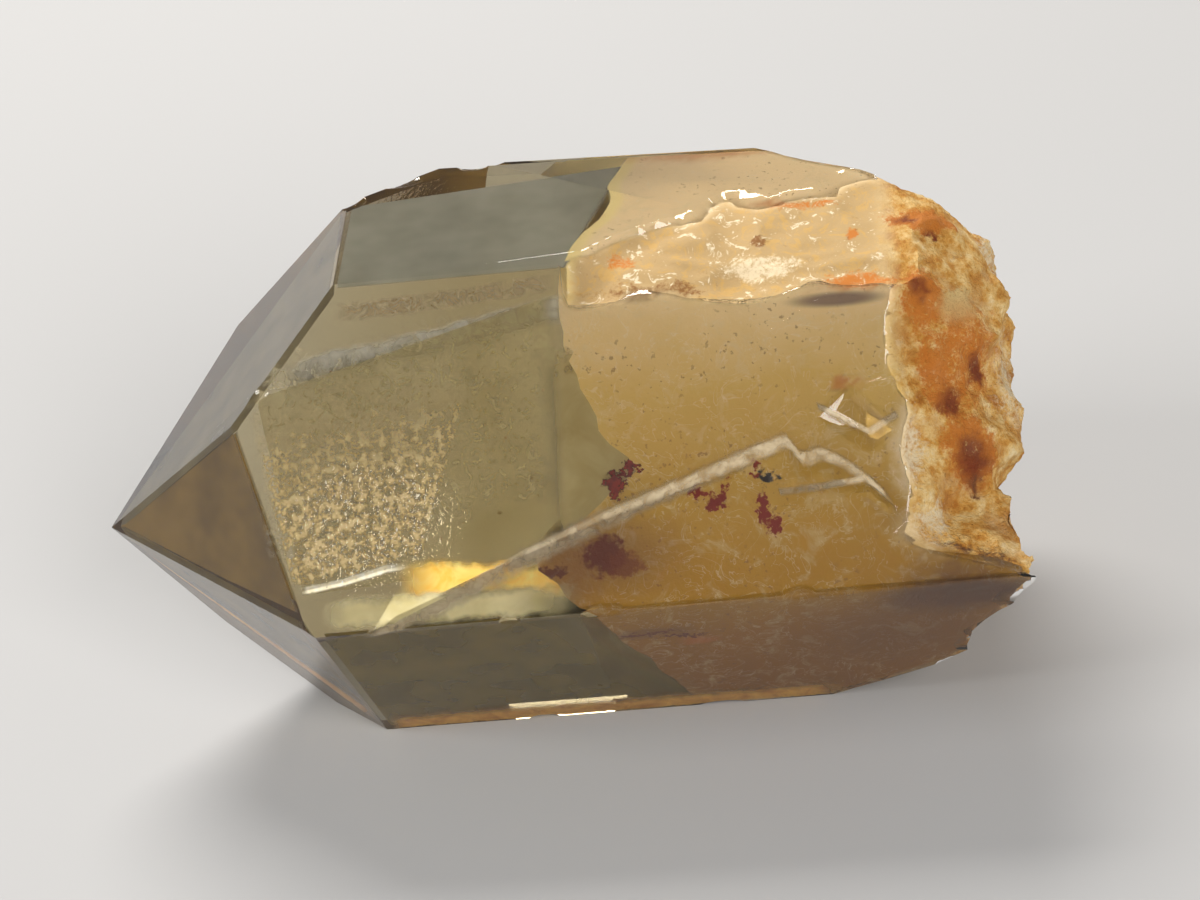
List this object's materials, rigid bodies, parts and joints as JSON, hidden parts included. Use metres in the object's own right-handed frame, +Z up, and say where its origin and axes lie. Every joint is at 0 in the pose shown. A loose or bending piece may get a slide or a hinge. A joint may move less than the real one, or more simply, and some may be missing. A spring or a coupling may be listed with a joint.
{
  "type": "citrine crystal point",
  "caption": "Single citrine quartz crystal lying on a prism face: clear pointed end, milky honey body, rough iron-stained break. Display or study specimen.",
  "frame": {"origin": "centre of the bounding box, on the surface that the crystal lies on", "axes": "+X along the crystal from its tip towards the break, +Y to the back, +Z up"},
  "size_m": [0.0482, 0.0278, 0.0251],
  "materials": {
    "citrine": "glassy faces, clear at the tip and milky towards a rust-stained rough break"
  },
  "bodies": {
    "root": {"citrine_crystal": "citrine"}
  },
  "joints": []
}
